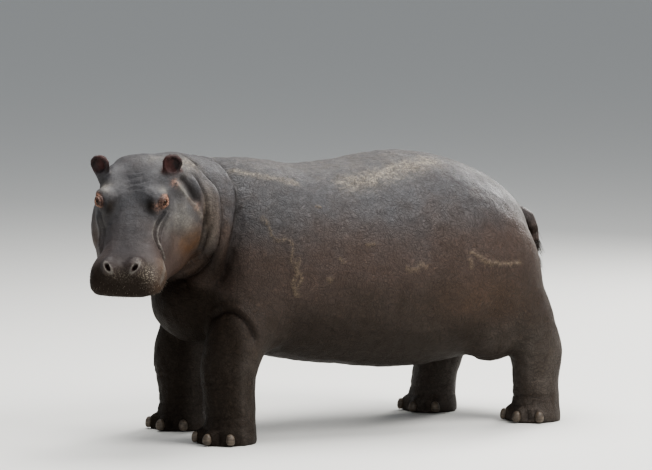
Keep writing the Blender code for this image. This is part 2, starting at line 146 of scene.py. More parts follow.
def eased(points, edges, pace, rounds):
    """Each point moves towards its neighbours' mean by its pace, then back out by a little more, which
    takes out short waves and keeps the volume."""
    count = len(points)
    ends, others = edges.T.ravel(), edges[:, ::-1].T.ravel()
    neighbours = np.bincount(ends, minlength=count).clip(1)
    for change in (1.0, -1.03) * rounds:
        mean = [np.bincount(ends, values[others], count) / neighbours for values in points.T]
        points = points + (np.array(mean).T - points) * (pace * change)[:, None]
    return points


def placed(name, data):
    """A new object for a mesh, a lamp or the camera, put in the scene."""
    item = bpy.data.objects.new(name, data)
    bpy.context.scene.collection.objects.link(item)
    return item


flesh = bmesh.new()
for name in FLESH + ("eye_left", "eye_right"):
    flesh.from_mesh(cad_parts[name].data)
bmesh.ops.remove_doubles(flesh, verts=flesh.verts, dist=SHARED_CORNER)
skin_mesh = bpy.data.meshes.new("skin")
flesh.to_mesh(skin_mesh)
flesh.free()
skin = placed("skin", skin_mesh)
fine_centre = from_head([0.34, 0.0, -0.15])
set_points(skin_mesh, magnified(mesh_arrays(skin_mesh)[0], fine_centre))
remesh = skin.modifiers.new("fuse", "REMESH")
remesh.mode = "VOXEL"
remesh.voxel_size = FUSE_GRID


def settled(piece):
    """The piece with its modifiers applied for good."""
    shown = piece.evaluated_get(bpy.context.evaluated_depsgraph_get())
    mesh = bpy.data.meshes.new_from_object(shown)
    mesh.name = piece.name
    piece.modifiers.clear()
    piece.data = mesh
    return mesh


skin_mesh = settled(skin)
form, form_edges = mesh_arrays(skin_mesh)
form = magnified(form, fine_centre, back=True)

# How far each region is eased: the barrel most, the head and legs less, the ears and tail hardly.
on_head = in_head(form)
off_axis = np.hypot(on_head[:, 1], on_head[:, 2] + 0.2)
beyond = np.maximum(step(off_axis, 0.27, 0.4), step(-on_head[:, 0], -0.1, 0.12))
ease = np.minimum(0.28 + 0.72 * beyond, 0.22 + 0.78 * step(form[:, 2], 0.25, 0.62))
for name in ("ear_left", "ear_right", "tail", "eye_left", "eye_right"):
    low, high = limits(name)
    gap = np.maximum(np.maximum(low - form, form - high), 0.0)
    ease = np.minimum(ease, 0.06 + 0.94 * step(length(gap), 0, 0.12))
form = eased(form, form_edges, EASE_PACE * ease, EASE_ROUNDS)
set_points(skin_mesh, form)


def refine(mesh, places, reach):
    """Cuts each edge inside the balls round the places in two, which halves the grid there."""
    cut = bmesh.new()
    cut.from_mesh(mesh)
    cut.edges.ensure_lookup_table()
    points, edges = mesh_arrays(mesh)
    near = np.zeros(len(points), bool)
    for place in places:
        near |= length(points - place) < reach
    inside = np.flatnonzero(near[edges].all(axis=1))
    bmesh.ops.subdivide_edges(cut, edges=[cut.edges[i] for i in inside], cuts=1, use_grid_fill=True)
    cut.to_mesh(mesh)
    cut.free()
    mesh.update()


# -------------------- the skin: folds and lids
# The hide is loose: thick rolls pile up where the head turns on the neck, lids wrap the eyes, the
# upper lip hangs over the lower, and the skin creases at the elbows, knees, ankles and flanks.
EYE_RADIUS = 0.023
SIDES = (("left", 1.0), ("right", -1.0))
eye_centres = [middle("eye_left"), middle("eye_right")]
EYES = tuple(zip(eye_centres, (1, -1)))
NOSTRIL = np.array([0.732, 0.069, -0.004])
NOSTRIL_DRAWN = np.array([0.0, -0.015, 0.0])
nostrils = [from_head(NOSTRIL * (1, side, 1) + NOSTRIL_DRAWN) for _, side in SIDES]
for places, reach in ((eye_centres, 0.062), (eye_centres, 0.05), (nostrils, 0.06), (nostrils, 0.04)):
    refine(skin_mesh, places, reach)
form, form_edges = mesh_arrays(skin_mesh)
near_eyes = np.min([length(form - c) for c in eye_centres], axis=0)
form = eased(form, form_edges, 0.5 * (1 - step(near_eyes, 0.05, 0.08)), 4)
set_points(skin_mesh, form)
# Each point's share of a crease, which eases the grid along it and paints shade into the groove.
groove_and_shade = np.zeros(len(form))


def mm(*numbers):
    """Numbers written in millimetres, as an array in metres."""
    return np.array(numbers) / 1000


def line_through(stops, spacing=0.008):
    """A line through stops: each stretch is the cubic whose slope at a stop is its neighbours' chord."""
    longer = np.vstack([2 * stops[0] - stops[1], stops, 2 * stops[-1] - stops[-2]])
    slope = (longer[2:] - longer[:-2]) / 2
    stretches = []
    for a, b, slope_a, slope_b in zip(stops[:-1], stops[1:], slope[:-1], slope[1:]):
        t = np.linspace(0.0, 1.0, max(2, int(np.linalg.norm(b - a) / spacing)), endpoint=False)[:, None]
        stretches.append(a * (2 * t**3 - 3 * t**2 + 1) + slope_a * (t**3 - 2 * t**2 + t)
                         + b * (3 * t**2 - 2 * t**3) + slope_b * (t**3 - t**2))
    return np.vstack(stretches + [stops[-1:]])


def round_about(points, others, reach):
    """The numbers of the points in the others' box, made wider all round by reach."""
    low, high = others.min(axis=0) - reach, others.max(axis=0) + reach
    return np.flatnonzero(((points > low) & (points < high)).all(axis=1))


def near_to(points, others, reach):
    """The points within reach of the others: their numbers, and the nearest other's number and its
    distance squared."""
    inside = round_about(points, others, reach)
    found = []
    for block in np.array_split(inside, max(1, len(inside) * len(others) // 4_000_000)):
        apart = ((points[block, None, :] - others[None, :, :]) ** 2).sum(axis=2)
        place = apart.argmin(axis=1)
        found.append((block, place, apart[np.arange(len(block)), place]))
    chosen, places, apart = (np.concatenate(part) for part in zip(*found))
    close = apart < reach * reach
    return chosen[close], places[close], apart[close]


def laid_on(points, line):
    """The line's places moved to the nearest points of the skin."""
    inside = round_about(points, line, 0.08)
    chosen = [inside[((points[inside] - place) ** 2).sum(axis=1).argmin()] for place in line]
    return points[chosen]


FORWARD = (-1, 0, 0)
UPWARD = (0, 0, 1)


def fold(stops, deep, ahead, behind, way=FORWARD, lip=0.0, pinch=0.35, ends=(0.18, 0.18)):
    """Moves the skin along a crease. Across it the dip is deep times e to the minus distance over width,
    with its own width ahead and behind, a lip rises in a bell beyond the ahead side, and both sides
    draw together. It dies away over its ends' shares. way points ahead."""
    global groove_and_shade
    line = line_through(laid_on(form, np.asarray(stops, float)))
    line = laid_on(form, line)
    for _ in range(12):
        line[1:-1] = (line[:-2] + 2 * line[1:-1] + line[2:]) / 4
    chosen, place, _ = near_to(form, line, 5.0 * max(ahead, behind))
    along = np.gradient(line, axis=0)
    along /= length(along)[:, None] + 1e-12
    off = form[chosen] - line[place]
    off -= (off * along[place]).sum(axis=1)[:, None] * along[place]
    off -= (off * normals[chosen]).sum(axis=1)[:, None] * normals[chosen]
    gap = length(form[chosen] - line[place])
    is_ahead = (off @ np.asarray(way, float)) > 0
    wide = np.where(is_ahead, ahead, behind)
    share = place / (len(line) - 1)
    fade = step(share, 0, ends[0]) * step(1 - share, 0, ends[1])
    fade *= 1 - step(gap, 3.5 * wide, 5 * wide)
    dip = np.exp(-np.sqrt(gap**2 + (0.25 * wide) ** 2) / wide + 0.25) * fade
    rise = np.exp(-(((gap - 2.0 * wide) / wide) ** 2)) * fade * is_ahead
    move = normals[chosen] * (lip * rise - deep * dip)[:, None]
    move -= off * (pinch * dip * fade)[:, None]
    form[chosen] += move
    # The crease's share is kept for the shade painted into the groove.
    groove_and_shade[chosen] = np.maximum(groove_and_shade[chosen], np.exp(-gap / (0.35 * wide)) * fade * min(1.0, deep / 0.01))


def bell(centre, radii, axes):
    """1 at the centre, falling as e to the minus square of the distance over the radii along the axes."""
    return np.exp(-((((form - centre) @ axes.T) / radii) ** 2).sum(axis=1))


def swell(centre, height, radii, axes=HEAD_AXES):
    """Raises (or, below nought, sinks) the skin along its outward direction in a bell round centre."""
    form[:] += normals * (height * bell(centre, radii, axes))[:, None]


def reshape():
    """Puts the moved points in the mesh and reads its outward directions anew."""
    global normals
    set_points(skin_mesh, form)
    normals = read(skin_mesh.vertex_normals, "vector", 3, np.float32).astype(float)


reshape()

# The rolls of the neck: three creases that ring it behind the jowl, deepest on the side it turns to.
JOWL_CREASE = mm(
    (-820, -275, 1435), (-770, -270, 1385), (-750, -300, 1330), (-741, -312, 1265), (-738, -306, 1210),
    (-744, -298, 1140), (-745, -265, 1050), (-746, -210, 980), (-742, -140, 930))
SECOND_CREASE = mm(
    (-775, -20, 1475), (-732, -141, 1465), (-711, -208, 1425), (-676, -243, 1376), (-654, -269, 1326),
    (-645, -297, 1260), (-654, -318, 1160), (-664, -314, 1093), (-676, -282, 1014), (-688, -191, 929),
    (-706, -80, 860), (-740, 60, 800))
THIRD_CREASE = mm(
    (-590, 150, 1430), (-557, 62, 1451), (-535, -13, 1446), (-524, -110, 1418), (-516, -178, 1372),
    (-514, -233, 1315), (-530, -279, 1237), (-552, -304, 1153), (-576, -315, 1088), (-606, -315, 987),
    (-630, -303, 915), (-655, -280, 850), (-700, -180, 760))
fold(THIRD_CREASE, 0.04, 0.02, 0.05, lip=0.009)
fold(SECOND_CREASE, 0.034, 0.016, 0.03, lip=0.007)
reshape()
fold(JOWL_CREASE, 0.022, 0.014, 0.01, lip=0.006)
FIRST_ROLL = mm(
    (-716, -262, 1370), (-697, -290, 1310), (-692, -305, 1240), (-694, -312, 1160), (-700, -300, 1080),
    (-710, -250, 1000), (-722, -180, 945))
fold(FIRST_ROLL, -0.026, 0.03, 0.036, pinch=0.0)
# The far side is stretched by the turn, so its rolls are longer and shallower.
fold(mm((-860, 160, 1440), (-900, 270, 1340), (-930, 320, 1200), (-930, 310, 1050), (-900, 240, 920)),
     0.016, 0.02, 0.035)
fold(mm((-700, 200, 1420), (-760, 330, 1300), (-800, 370, 1150), (-800, 330, 980), (-760, 240, 840)),
     0.014, 0.024, 0.04)
reshape()

# The ridge from the ear down to the jowl, and the long hollow behind it.
HOLLOW = mm((-872, -262, 1392), (-843, -296, 1354), (-819, -304, 1308), (-792, -311, 1250))
EAR_RIDGE = mm(
    (-906, -277, 1376), (-881, -293, 1340), (-841, -304, 1288), (-802, -317, 1232), (-778, -313, 1195),
    (-757, -305, 1162))
fold(HOLLOW, 0.018, 0.021, 0.023, pinch=0.1)
fold(EAR_RIDGE, -0.01, 0.01, 0.008, pinch=0.0)
swell(from_head([0.115, -0.262, -0.045]), -0.006, (0.05, 0.045, 0.06))
reshape()

# The brows bulge over the eyes, with a hollow between each eye and the bridge of the nose. The far
# brow stands out further, and the crown is domed.
for side in (1, -1):
    for place, high, radii in (((222, 160, 12), 0.012, (42, 42, 40)),
                               ((292, 85, -10), -0.014, (40, 26, 40))):
        swell(from_head(mm(*place) * (1, side, 1) + EYES_IN_HEAD * (0, 1, 0)), high, mm(*radii))
for place, high, radii in (((205, -205, -15), 0.016, (40, 45, 50)),
                           ((240, -240, -200), -0.012, (90, 60, 70)),
                           ((-30, 20, 10), 0.007, (60, 100, 80)),
                           ((755, -160, -160), 0.012, (60, 50, 60))):
    swell(from_head(mm(*place)), high, mm(*radii))
reshape()
# The forehead and the skin round the eyes wrinkle.
for row, (x, low, high) in enumerate(mm((85, -75, 60), (130, -90, 45), (172, -70, 75), (212, -55, 50))):
    fold(from_head([(x + 0.012 * math.sin(3.1 * t + row), low + (high - low) * t, 0.02)
                    for t in (0.0, 0.25, 0.5, 0.75, 1.0)]), 0.002, 0.006, 0.007, head_forward, pinch=0.1)
for x, low, high in mm((26, 100, 200), (-48, 110, 190)):
    fold(from_head([(low, x, 0.02), ((low + high) / 2, x + 0.008, 0.02), (high, x - 0.004, 0.02)]),
         0.0018, 0.006, 0.006, head_left, pinch=0.1)
for centre, side in EYES:
    at = in_head([centre])[0]
    for far, deep in ((0.05, 0.006), (0.066, 0.005), (0.082, 0.003)):
        turn = np.linspace(-0.9, 1.9, 7)[:, None]
        arc = at + far * (np.cos(turn) * (1.0, 0, 0) + np.sin(turn) * (0, 0.55 * side, -0.75))
        fold(from_head(arc), deep, 0.006, 0.007, head_forward, pinch=0.2, ends=(0.3, 0.3))
reshape()

# Both sides of the face: the crease from the eye down to the lip, and the one beside it. The skin of
# the far cheek is drawn tight, so its creases lie further out.
NEAR_FOLDS = (
    mm((275, 176, -40), (337, 138, -53), (382, 120, -69), (434, 115, -76), (472, 129, -94),
       (498, 150, -145), (500, 165, -205)),
    mm((276, 184, -60), (325, 164, -67), (382, 144, -93), (443, 140, -104), (486, 150, -125)))
FAR_FOLDS = (
    mm((275, -194, -50), (330, -172, -80), (380, -160, -100), (430, -158, -120), (475, -160, -150),
       (500, -165, -200)),
    mm((285, -205, -80), (340, -190, -105), (400, -178, -140), (450, -176, -170)))
for (first, second), outwards in ((NEAR_FOLDS, head_left), (FAR_FOLDS, -head_left)):
    fold(from_head(first), 0.02, 0.007, 0.007, outwards, lip=0.009, pinch=0.25)
    fold(from_head(second), 0.014, 0.006, 0.006, outwards, lip=0.006, pinch=0.25)
# The mouth: the upper lip hangs over the lower jaw from the front of the muzzle, back and up to the
# crease that comes down from the eye.
MOUTH = mm(
    (770, -20, -262), (757, 60, -262), (715, 145, -255), (640, 190, -248), (575, 182, -235),
    (530, 172, -210), (505, 160, -170))
for side in (1, -1):
    fold(from_head(MOUTH, side), 0.014, 0.01, 0.008, head_up, lip=0.003, ends=(0.02, 0.15))
reshape()

# The forelegs: the flank's skin hangs over the elbow in an arch.
ELBOW = mm(
    (-655, 150, 640), (-641, 264, 682), (-603, 326, 691), (-564, 360, 667), (-534, 380, 626),
    (-508, 386, 570), (-480, 380, 500))
for side in (-1, 1):
    fold(ELBOW * (1, side, 1), 0.024, 0.014, 0.034, UPWARD, lip=0.005)
reshape()


def round_leg(leg, level, start, end, sag):
    """Stops round a leg at a level, from one turn off straight ahead to another, sagging midway."""
    corners = corners_of(leg)
    near = corners[np.abs(corners[:, 2] - level) < 0.07]
    share = np.linspace(0.0, 1.0, 9)
    turn = start + (end - start) * share
    reach = np.ptp(near, axis=0) / 2
    centre = (near.max(axis=0) + near.min(axis=0)) / 2
    return np.column_stack([centre[0] - reach[0] * np.cos(turn), centre[1] + reach[1] * np.sin(turn),
                            level - sag * np.sin(math.pi * share)])


# The knees and ankles crease, and the feet are cleft between the toes.
LEGS = FLESH[-4:]
for leg in LEGS:
    for level, start, end, deep in (
            (0.335, -1.6, 1.4, 0.006), (0.3, -1.2, 1.7, 0.005),
            (0.15, -2.2, 2.0, 0.007), (0.118, -1.8, 2.3, 0.006),
            (0.2, -1.0, 1.5, 0.003)):
        fold(round_leg(leg, level, start, end, 0.015), deep, 0.009, 0.012, UPWARD, lip=0.001, pinch=0.2)
    toes = [middle("nail_%s_%d" % (leg, number)) for number in (1, 2, 3, 4)]
    foot = round_leg(leg, 0.03, 0.0, 6.0, 0.0).mean(axis=0)
    for one, other in zip(toes[:-1], toes[1:]):
        cleft = (one + other) / 2
        out = cleft[:2] - foot[:2]
        stops = [(*(foot[:2] + out * reach), level)
                 for reach, level in ((1.12, 0.012), (1.1, 0.045), (1.04, 0.085))]
        across = unit((other - one) * (1, 1, 0))
        fold(stops, 0.014, 0.012, 0.012, across, pinch=0.1, ends=(0.02, 0.5))
reshape()

# Muscle and bone under the hide: the blade of the shoulder, the hip and thigh, and a hollow behind
# the one and before the other.
PLAIN_AXES = np.eye(3)
for side in (-1, 1):
    for centre, high, radii in (((-360, 360, 1080), 0.01, (130, 200, 200)),
                                ((-100, 420, 900), -0.008, (100, 200, 220)),
                                ((780, 360, 1160), 0.01, (140, 200, 130)),
                                ((500, 450, 720), -0.012, (90, 200, 200)),
                                ((860, 430, 780), 0.008, (160, 200, 200))):
        swell(mm(*centre) * (1, side, 1), high, mm(*radii), PLAIN_AXES)


def uneven(points, dice, longest, shortest, waves):
    """Slow swells without a pattern: the mean of plane waves of random direction, length and phase."""
    ways = dice.normal(size=(waves, 3))
    ways *= (2 * math.pi / dice.uniform(shortest, longest, waves) / length(ways))[:, None]
    total = np.zeros(len(points))
    for way, phase in zip(ways, dice.uniform(0, 2 * math.pi, waves)):
        total += np.sin(points @ way + phase)
    return total / math.sqrt(waves)


dice = np.random.default_rng(7)
on_head = in_head(form)
calm = 1 - 0.65 * step(on_head[:, 0], -0.05, 0.15) * (1 - step(-on_head[:, 2], 0.55, 0.75))
calm *= step(form[:, 2], 0.04, 0.2)
form += normals * (calm * (0.0022 * uneven(form, dice, 0.34, 0.14, 14)
                           + 0.001 * uneven(form, dice, 0.09, 0.045, 20)))[:, None]
reshape()

# Healed wounds and welts stand up from the hide.
RUMP_SCAR = mm(
    (700, -470, 950), (771, -462, 905), (837, -452, 875), (906, -436, 860), (981, -420, 859),
    (1054, -408, 866))
SCARS = (
    (RUMP_SCAR, 0.01, 0.85, 0.009),
    (mm((700, -470, 910), (714, -471, 880), (722, -471, 857)), 0.01, 0.9, 0.006),
    (mm((-285, -387, 940), (-262, -390, 880), (-280, -380, 820), (-255, -382, 745)),
     0.011, 0.9, 0.005),
    (mm((-240, -394, 950), (-268, -390, 900), (-240, -390, 850), (-270, -380, 790)),
     0.009, 0.8, 0.004),
    (mm((-429, -322, 1174), (-400, -350, 1100), (-377, -365, 1047), (-295, -375, 1034),
      (-300, -385, 917)), 0.008, 0.75, 0.004),
    (mm((-100, -420, 850), (-88, -420, 830), (-70, -420, 815)), 0.013, 0.85, 0.007),
    (mm((-41, -419, 953), (-22, -424, 930), (-5, -428, 906)), 0.008, 0.8, 0.005),
    (mm((105, -428, 1008), (140, -432, 1004), (170, -435, 1006)), 0.008, 0.8, 0.005),
    (mm((320, -450, 880), (370, -450, 872), (420, -450, 878), (455, -450, 870)), 0.012, 0.6, 0.006),
    (mm((-130, -324, 1208), (-105, -327, 1200), (-85, -330, 1198)), 0.008, 0.8, 0.004))
for stops, wide, _, high in SCARS:
    fold(stops, -high, 0.7 * wide, 0.8 * wide, UPWARD, pinch=0.0, ends=(0.1, 0.1))
reshape()

# -------------------- the skin: lids and nostrils
# Each eye sits in a raised socket between thick ringed lids, and each nostril is a slit in a round pad.
LID_LONG = 0.018
LID_WIDE = 0.0098
LID_EDGE = 0.003
EYE_FACING = np.array([0.5, 0.63, 0.52])


def eye_axes(side):
    """The eye's own directions: along the slit to its front corner, across it upwards, and out."""
    out = unit((EYE_FACING * (1, side, 1)) @ HEAD_AXES)
    along = unit(head_forward - (head_forward @ out) * out)
    across = np.cross(out, along) * side
    return np.array([along, across if across @ head_up > 0 else -across, out])


def lid_height(beyond, ripple):
    """The skin's distance out from the eye's middle against the distance beyond the slit's margin: a
    thick edge, a groove, and a fold outside it whose height is scaled by the ripple."""
    stops = mm(-1, 0.2, 2.5, 6.5, 10, 17, 24, 32, 45)
    base = mm(-4, -0.5, 2, 4, 1.5, 3.5, 1, 3, 2)
    folds = mm(0, 0, 0, 1.5, -1, 4.5, -0.5, 1.5, 0)
    rise = np.interp(beyond, stops, base) + ripple * np.interp(beyond, stops, folds)
    return EYE_RADIUS + np.where(beyond < 0, 0.0, LID_EDGE) + rise


lid = np.zeros(len(form))
raw = np.zeros(len(form))
for centre, side in EYES:
    local = (form - centre) @ eye_axes(side).T
    away = length(form - centre)
    chosen = np.flatnonzero((away < 0.08) & (local[:, 2] > -0.016))
    part = local[chosen]
    drawn = part[:, 1] + 0.002
    spread = np.hypot(part[:, 0] / LID_LONG, drawn / LID_WIDE)
    beyond = (1 - 1 / np.maximum(spread, 1e-6)) * np.hypot(part[:, 0], drawn)
    beyond += np.where(part[:, 2] < 0, -2.0 * part[:, 2], 0.0)
    turn = np.arctan2(part[:, 1], part[:, 0])
    ripple = (0.7 + 0.35 * np.sin(2.0 * turn + 0.8) + 0.2 * np.sin(7.0 * turn)
              + 0.12 * np.sin(17.0 * turn + 2.0))
    hold = 1 - step(beyond, 0.012, 0.036)
    new = away[chosen] * (1 - hold) + lid_height(beyond, ripple) * hold
    form[chosen] = centre + (form[chosen] - centre) * (new / away[chosen])[:, None]
    lid[chosen] = np.maximum(lid[chosen], 1 - step(beyond, 0.014, 0.036))
    below = 0.15 + 0.85 * step(np.cos(turn + 2), -0.5, 0.3)
    behind = step(-np.cos(turn), 0.2, 0.9)
    bare = 1 - step(beyond, 0.012 + 0.012 * behind, 0.03 + 0.016 * behind)
    raw[chosen] = np.maximum(raw[chosen], bare * below)
reshape()
for centre, side in EYES:
    axes = eye_axes(side)
    swell(centre + np.array([-0.04, -0.004, 0.018]) @ axes, 0.006, (0.017, 0.011, 0.03), axes)
reshape()
# The nostrils: a slanting slit sunk into the top of each round pad, with a raised rim.
SLIT_LONG = 0.019
SLIT_WIDE = 0.0088
SLIT_DEPTH = 0.016
RIM_RISE = 0.0035
RIM_AT = 1.65               # the rim's crest, where 1 is the slit's own edge
nostril = np.zeros(len(form))
rim = np.zeros(len(form))
for centre, side in zip(nostrils, (1, -1)):
    around = length(form - centre) < 0.04
    out = unit(normals[around].mean(axis=0))
    along = head_up * 0.85 + head_left * side * 0.45
    along = unit(along - (along @ out) * out)
    local = (form - centre) @ np.array([along, np.cross(out, along), out]).T
    spread = np.hypot(local[:, 0] / SLIT_LONG, local[:, 1] / SLIT_WIDE) + 9.0 * (np.abs(local[:, 2]) > 0.05)
    nostril = np.maximum(nostril, 1 - step(spread, 0.75, 1.25))
    rim = np.maximum(rim, np.exp(-(((spread - RIM_AT) / 0.45) ** 2)))
    form += out * (RIM_RISE * np.exp(-(((spread - RIM_AT) / 0.5) ** 2))
                   - SLIT_DEPTH * (1 - step(spread, 0.55, 1.25)))[:, None]
reshape()

# The grooves are eased a little along their own length, so that no step of the grid shows in them.
form = eased(form, form_edges, 0.45 * np.minimum(1, 1.6 * groove_and_shade) * (1 - np.minimum(1, lid * 2)), 3)
reshape()


def keep_share(mesh, name, values):
    """Stores one number for each point of a mesh, for its paint to read."""
    layer = mesh.attributes.new(name, "FLOAT", "POINT")
    layer.data.foreach_set("value", np.ascontiguousarray(values, np.float32))


for name, share in (("groove_and_shade", groove_and_shade), ("lid", lid), ("raw", raw), ("nostril", nostril), ("rim", rim)):
    keep_share(skin_mesh, name, share)
skin_mesh.shade_smooth()
SKIN_TRIANGLES = 196_000
thin = skin.modifiers.new("thin", "DECIMATE")
thin.use_collapse_triangulate = True
thin.ratio = SKIN_TRIANGLES / sum(len(p.vertices) - 2 for p in skin_mesh.polygons)
skin_mesh = settled(skin)
form = mesh_arrays(skin_mesh)[0]
form[:, 2] = np.maximum(form[:, 2], 0.0)
reshape()
on_head = in_head(form)

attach(skin, "root")
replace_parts(skin, *FLESH)

# -------------------- the skin: its markings, painted shade and painted highlights
# Slate grey above and purple brown on the flanks, darkening with painted shade to near black below;
# dried dust along the back, tan jowls, raw orange lids, dark ears and a muzzle dark below with painted
# shade; painted shade in the creases, hollows and throat, and painted highlights on the brows, cheeks,
# fold edges and the rear edge of the rump. Each mark is a share stored on the skin's points.


def spots(*rows, axes=HEAD_AXES):
    """The strongest of several bells at each point. A row gives a bell's strength, its centre and radii
    in millimetres, and last, where it has a mirror image, the share of it that the image has."""
    total = np.zeros(len(form))
    for strength, centre, radii, *mirrored in rows:
        for side, share in zip((1, -1), (1.0, *mirrored)):
            place = mm(*centre) * (1, side, 1)
            place = from_head(place) if axes is HEAD_AXES else place
            total = np.maximum(total, strength * share * bell(place, mm(*radii), axes))
    return total


def streak(stops, wide, ends=(0.1, 0.1)):
    """A bell across a line laid on the skin: 1 on the line, falling over the width."""
    line = laid_on(form, line_through(stops))
    share = np.zeros(len(form))
    chosen, place, _ = near_to(form, line, 2.6 * wide)
    gap = length(form[chosen] - line[place]) / wide
    along = place / (len(line) - 1)
    share[chosen] = np.exp(-gap**2) * step(along, 0, ends[0]) * step(1 - along, 0, ends[1])
    return share


def close_to(node, points, reach):
    """1 on a node's own surface, falling to 0 at reach from its nearest corner."""
    chosen, _, apart = near_to(points, corners_of(node), reach)
    share = np.zeros(len(points))
    share[chosen] = 1 - step(np.sqrt(apart), 0.6 * reach, reach)
    return share


def strongest(*shares):
    """The greatest of several shares at each point."""
    return np.maximum.reduce(shares)


DUST_LINES = ((0.78, mm((20, 245, 1300), (250, 240, 1335), (480, 205, 1370), (740, 120, 1400)), 0.06),
              (0.8, mm((-531, 108, 1417), (-420, 170, 1385), (-300, 205, 1345), (-150, 236, 1305)), 0.018))
# The rear-facing side of the rump, where a painted highlight stands in for light from behind.
rump_rim_highlight = step(normals[:, 0], 0.45, 0.95) * step(form[:, 2], 0.45, 0.75) * (1 - step(form[:, 2], 1.2, 1.34))
# Dried dust along the back and the top of the neck and in a patch behind the near ear, a paler tan on the
# upward-facing top of the neck and shoulders, and a painted highlight on the rear edge of the rump.
dust_and_rim_highlight = strongest(
    spots((0.75, (-800, -200, 1445), (80, 90, 50)), axes=PLAIN_AXES),
    0.16 * step(normals[:, 2], 0.75, 1) * step(form[:, 0], -0.7, -0.3),
    0.1 * rump_rim_highlight * step(form[:, 0], 0.9, 1.1),
    *(depth * streak(stops * (1, side, 1), wide) for side in (-1, 1) for depth, stops, wide in DUST_LINES))
tan = strongest(
    spots((1.0, (305, 255, -250), (105, 120, 105), 0.35), (0.8, (285, 205, -400), (140, 120, 140), 0.35),
          (0.75, (660, 180, -120), (70, 40, 90)), (0.8, (745, 158, -130), (40, 35, 50))),
    spots((0.85, (-722, -315, 1170), (50, 100, 140)), (0.45, (-640, -300, 1100), (60, 100, 160)),
          (0.3, (800, 450, 680), (260, 200, 140), 1), axes=PLAIN_AXES),
    0.6 * streak(EAR_RIDGE[2:], 0.018))
LIP_EDGE = mm((560, 185, -120), (600, 188, -115), (643, 186, -111), (700, 180, -105), (750, 170, -105))
# Mostly painted highlights: on the tops of the brows, the cheeks, the crown and the side of the muzzle, the
# roll behind the jowl, the rear edge of the rump, the edge of the upper lip and the lit edges of the folds
# beside the eye; painted light on the lower legs, which the lamps leave in shade; and paler skin with
# painted highlight along the ear ridge.
highlight_and_pale = strongest(
    spots((0.9, (215, 150, 30), (28, 22, 30), 1), (0.95, (270, 238, -125), (75, 60, 75), 0.35),
          (0.4, (344, 171, -95), (50, 50, 50), 1), (1.0, (190, -165, 0), (36, 45, 50)),
          (0.5, (-20, 70, 10), (40, 60, 50)), (0.35, (630, 190, -90), (50, 30, 70))),
    spots((0.75, (-722, -300, 1180), (35, 100, 160)),
          (0.38, (1200, 190, 1060), (110, 160, 240), 1), axes=PLAIN_AXES),
    0.16 * step(-form[:, 2], -0.62, -0.4),
    0.8 * streak(from_head(LIP_EDGE), 0.016),
    0.85 * streak(EAR_RIDGE, 0.016),
    *(streak(from_head(NEAR_FOLDS[0][1:] + (0, aside, 0)), 0.0055) for aside in (-0.014, 0.013)))
# The lower front of the muzzle: its own dark skin with painted shade, less of it on the near side.
low_muzzle_dark_and_shade = step(on_head[:, 0], 0.6, 0.7) * step(-on_head[:, 2], 0, 0.05)
low_muzzle_dark_and_shade *= 1 - 0.55 * step(on_head[:, 1], 0.1, 0.16)
# Painted shade on the throat, under the jaw.
throat_shade = step(-form[:, 0], 0.5, 0.62) * step(-form[:, 2], -0.93, -0.78) * step(-on_head[:, 2], 0.48, 0.6)
tail_low, tail_high = limits("tail")
# Near black, mostly painted shade: in the hollows between the eyes and the bridge, low on the neck, on the
# shoulders, on the underside that faces down, in the hollow behind the ear ridge and along the second and
# third creases, with the muzzle and throat shade above; and the tail's own dark colour where it hangs on
# the rump.
shade_and_dark = strongest(
    spots((0.85, (298, 87, -5), (36, 30, 50)), (0.85, (302, -122, -12), (36, 30, 50))),
    spots((0.75, (-640, 290, 900), (130, 200, 140), 1),
          (0.22, (-380, 330, 1000), (180, 250, 400), 1), axes=PLAIN_AXES),
    0.86 * low_muzzle_dark_and_shade,
    0.8 * throat_shade,
    0.45 * step(-normals[:, 2], 0.1, 0.7) * step(-form[:, 2], -0.95, -0.75),
    0.42 * streak(HOLLOW, 0.022),
    *(0.65 * streak(crease + (0.006, 0, 0), 0.011) for crease in (THIRD_CREASE, SECOND_CREASE)),
    0.8 * close_to("tail", form, 0.03) * step(-form[:, 2], -1.06, -0.96))
MARKS = {
    "dust_and_rim_highlight": dust_and_rim_highlight, "tan": tan, "highlight_and_pale": highlight_and_pale, "shade_and_dark": shade_and_dark,
    "inky": spots((0.55, (120, -30, 20), (120, 110, 90)), (0.25, (380, -15, 0), (140, 80, 90)),
                  (0.97, (560, -15, 20), (190, 180, 120))),
    "speckle": spots((1.0, (735, 125, -50), (50, 50, 45)), (0.7, (701, 90, 5), (30, 40, 30)),
                     (0.35, (755, -15, -35), (40, 90, 40))),
    "sore": strongest(spots((0.45, (308, 122, -4), (16, 22, 30))),
                      spots((0.55, (-903, -284, 1356), (22, 30, 22)),
                            (0.35, (-795, -315, 1232), (18, 30, 22)), axes=PLAIN_AXES)),
    "maroon": strongest(*(close_to(ear, form, 0.024) * step(form[:, 2], 1.38, 1.43)
                          for ear in ("ear_left", "ear_right"))),
    "scar": strongest(*(depth * streak(stops, wide, (0.05, 0.05)) for stops, wide, depth, _ in SCARS)),
    "smooth": ((1 - step(np.hypot(on_head[:, 1], on_head[:, 2] + 0.15), 0.26, 0.4))
               * step(on_head[:, 0], -0.1, 0.1))}
for name, share in MARKS.items():
    keep_share(skin_mesh, name, share)


def feed(item, feeds):
    """Fills a node's sockets, given by name or number: a socket is joined, a value is set."""
    for key, value in dict(feeds).items():
        if isinstance(value, bpy.types.NodeSocket):
            tree.links.new(value, item.inputs[key])
        else:
            item.inputs[key].default_value = value
    return item


def put(kind, feeds=(), **settings):
    """Adds a node to the paint that is being mixed, with its settings, and feeds it."""
    item = tree.nodes.new("ShaderNode" + kind)
    for key, value in settings.items():
        setattr(item, key, value)
    return feed(item, feeds)


def spread_out(place, size):
    """The place, stretched along each axis by its own measure."""
    return put("Mapping", {"Vector": place, "Scale": size}).outputs["Vector"]


